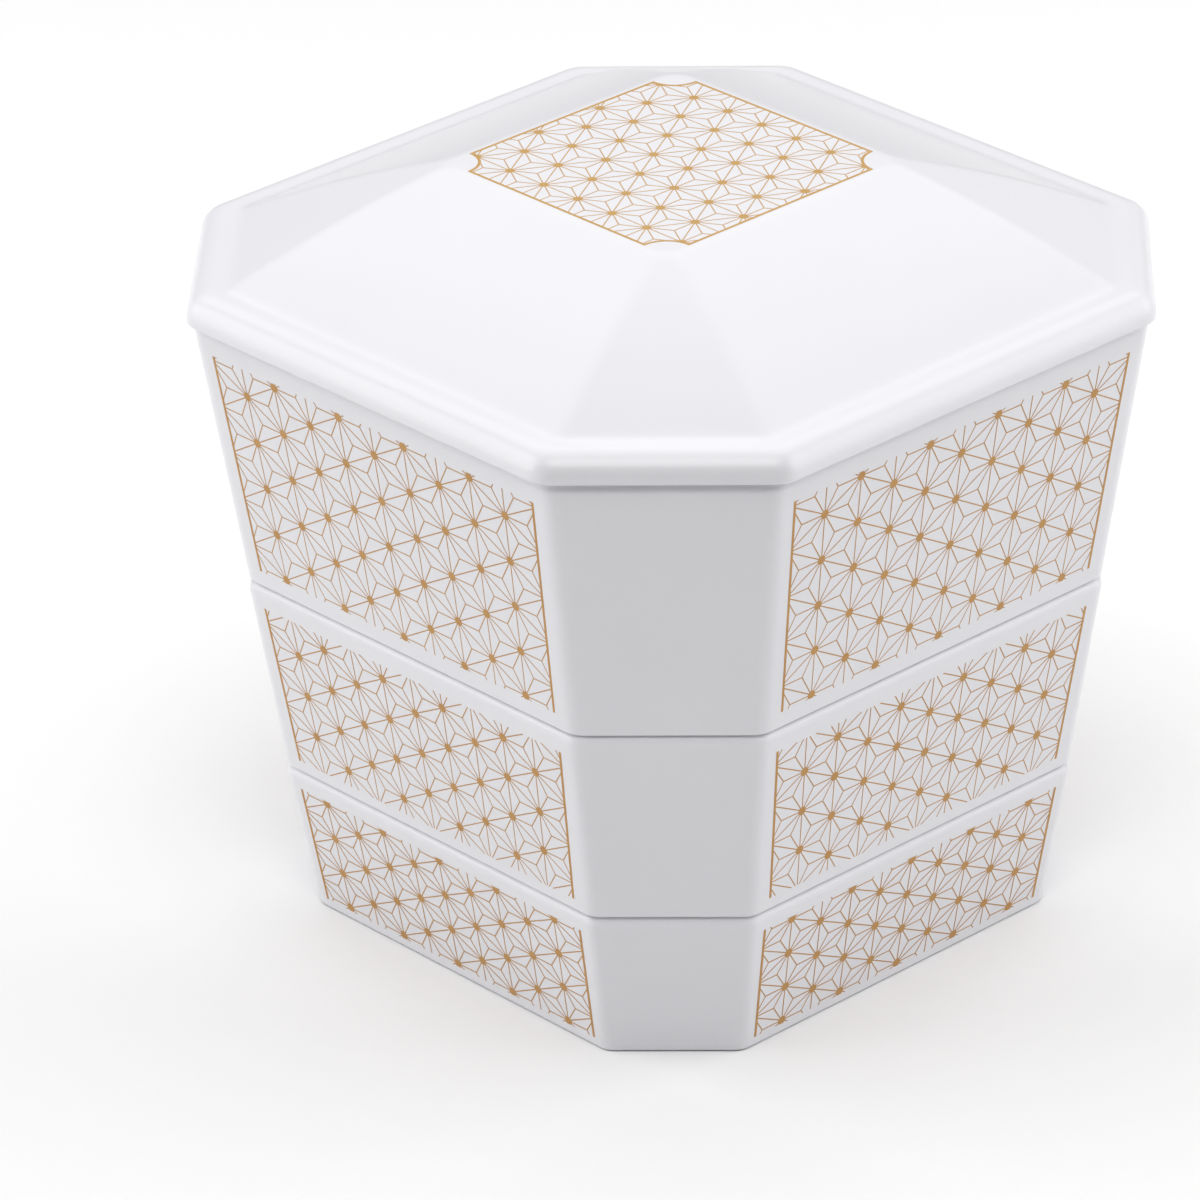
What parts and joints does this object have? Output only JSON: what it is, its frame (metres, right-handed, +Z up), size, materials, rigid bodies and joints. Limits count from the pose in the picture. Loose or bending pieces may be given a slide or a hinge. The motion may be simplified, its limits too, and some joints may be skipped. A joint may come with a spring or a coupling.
{
  "type": "stacking food box",
  "caption": "White porcelain stacking food box with cut corners: tapering tiers under a faceted domed lid, with a gold hemp-leaf print on the broad faces.",
  "frame": {"origin": "centre of the flat face that the bottom tier rests on", "axes": "+Z up along the stack's axis; the broad faces look along X and Y, the corner faces along the diagonals"},
  "size_m": [0.202, 0.202, 0.1923],
  "materials": {
    "porcelain": "smooth white glaze, glossy",
    "gold_print": "matt gold overglaze print"
  },
  "bodies": {
    "bottom_tier": {"bottom_tier": "porcelain"},
    "middle_tier": {"middle_tier": "porcelain"},
    "top_tier": {"top_tier": "porcelain"},
    "lid": {"lid": "porcelain"}
  },
  "joints": [
    {"name": "middle_tier_lift", "type": "slide", "parent": "bottom_tier", "child": "middle_tier", "axis": [0, 0, 1], "range_m": [0, 0.07]},
    {"name": "top_tier_lift", "type": "slide", "parent": "middle_tier", "child": "top_tier", "axis": [0, 0, 1], "range_m": [0, 0.08]},
    {"name": "lid_lift", "type": "slide", "parent": "top_tier", "child": "lid", "axis": [0, 0, 1], "range_m": [0, 0.09]}
  ]
}
